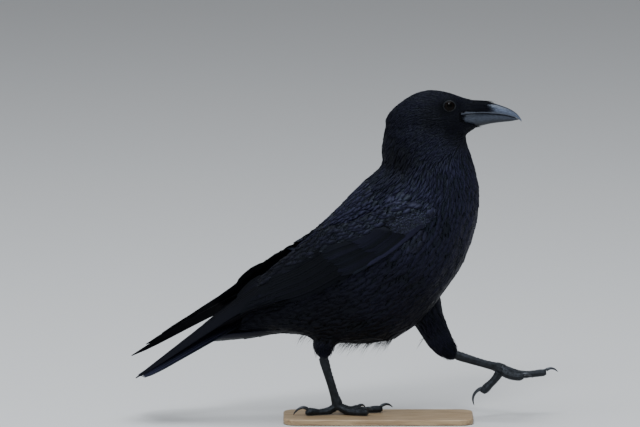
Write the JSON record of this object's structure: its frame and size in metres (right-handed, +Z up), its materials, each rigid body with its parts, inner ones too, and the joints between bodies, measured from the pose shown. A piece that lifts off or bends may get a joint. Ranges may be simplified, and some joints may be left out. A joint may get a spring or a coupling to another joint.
{
  "type": "carrion crow",
  "caption": "Life-size still model of a walking carrion crow, all black, left foot raised and wings folded, on a low oak base.",
  "frame": {"origin": "centre of the bounding box's bottom face, on the underside of the base", "axes": "+X towards the bill, +Y to the bird's left, +Z up"},
  "size_m": [0.4282, 0.1068, 0.3333],
  "materials": {
    "plumage": "black feathers with a slight blue-violet gloss",
    "bill_horn": "satin black horn",
    "eye": "wet dark brown",
    "leg_skin": "scaly slate-black skin",
    "claw_horn": "satin black horn",
    "base_oak": "plain oiled oak"
  },
  "bodies": {
    "root": {"head": "plumage", "neck": "plumage", "breast": "plumage", "belly": "plumage", "rump": "plumage", "bill_upper": "bill_horn", "bill_lower": "bill_horn", "eye_right": "eye", "eye_left": "eye", "tail": "plumage", "wing_right_coverts": "plumage", "wing_right_secondaries": "plumage", "wing_right_primaries": "plumage", "thigh_right": "plumage", "shank_right": "leg_skin", "toe_1_right": "leg_skin", "toe_2_right": "leg_skin", "toe_3_right": "leg_skin", "toe_4_right": "leg_skin", "claw_1_right": "claw_horn", "claw_2_right": "claw_horn", "claw_3_right": "claw_horn", "claw_4_right": "claw_horn", "wing_left_coverts": "plumage", "wing_left_secondaries": "plumage", "wing_left_primaries": "plumage", "thigh_left": "plumage", "shank_left": "leg_skin", "toe_1_left": "leg_skin", "toe_2_left": "leg_skin", "toe_3_left": "leg_skin", "toe_4_left": "leg_skin", "claw_1_left": "claw_horn", "claw_2_left": "claw_horn", "claw_3_left": "claw_horn", "claw_4_left": "claw_horn", "stand_base": "base_oak"}
  },
  "joints": []
}
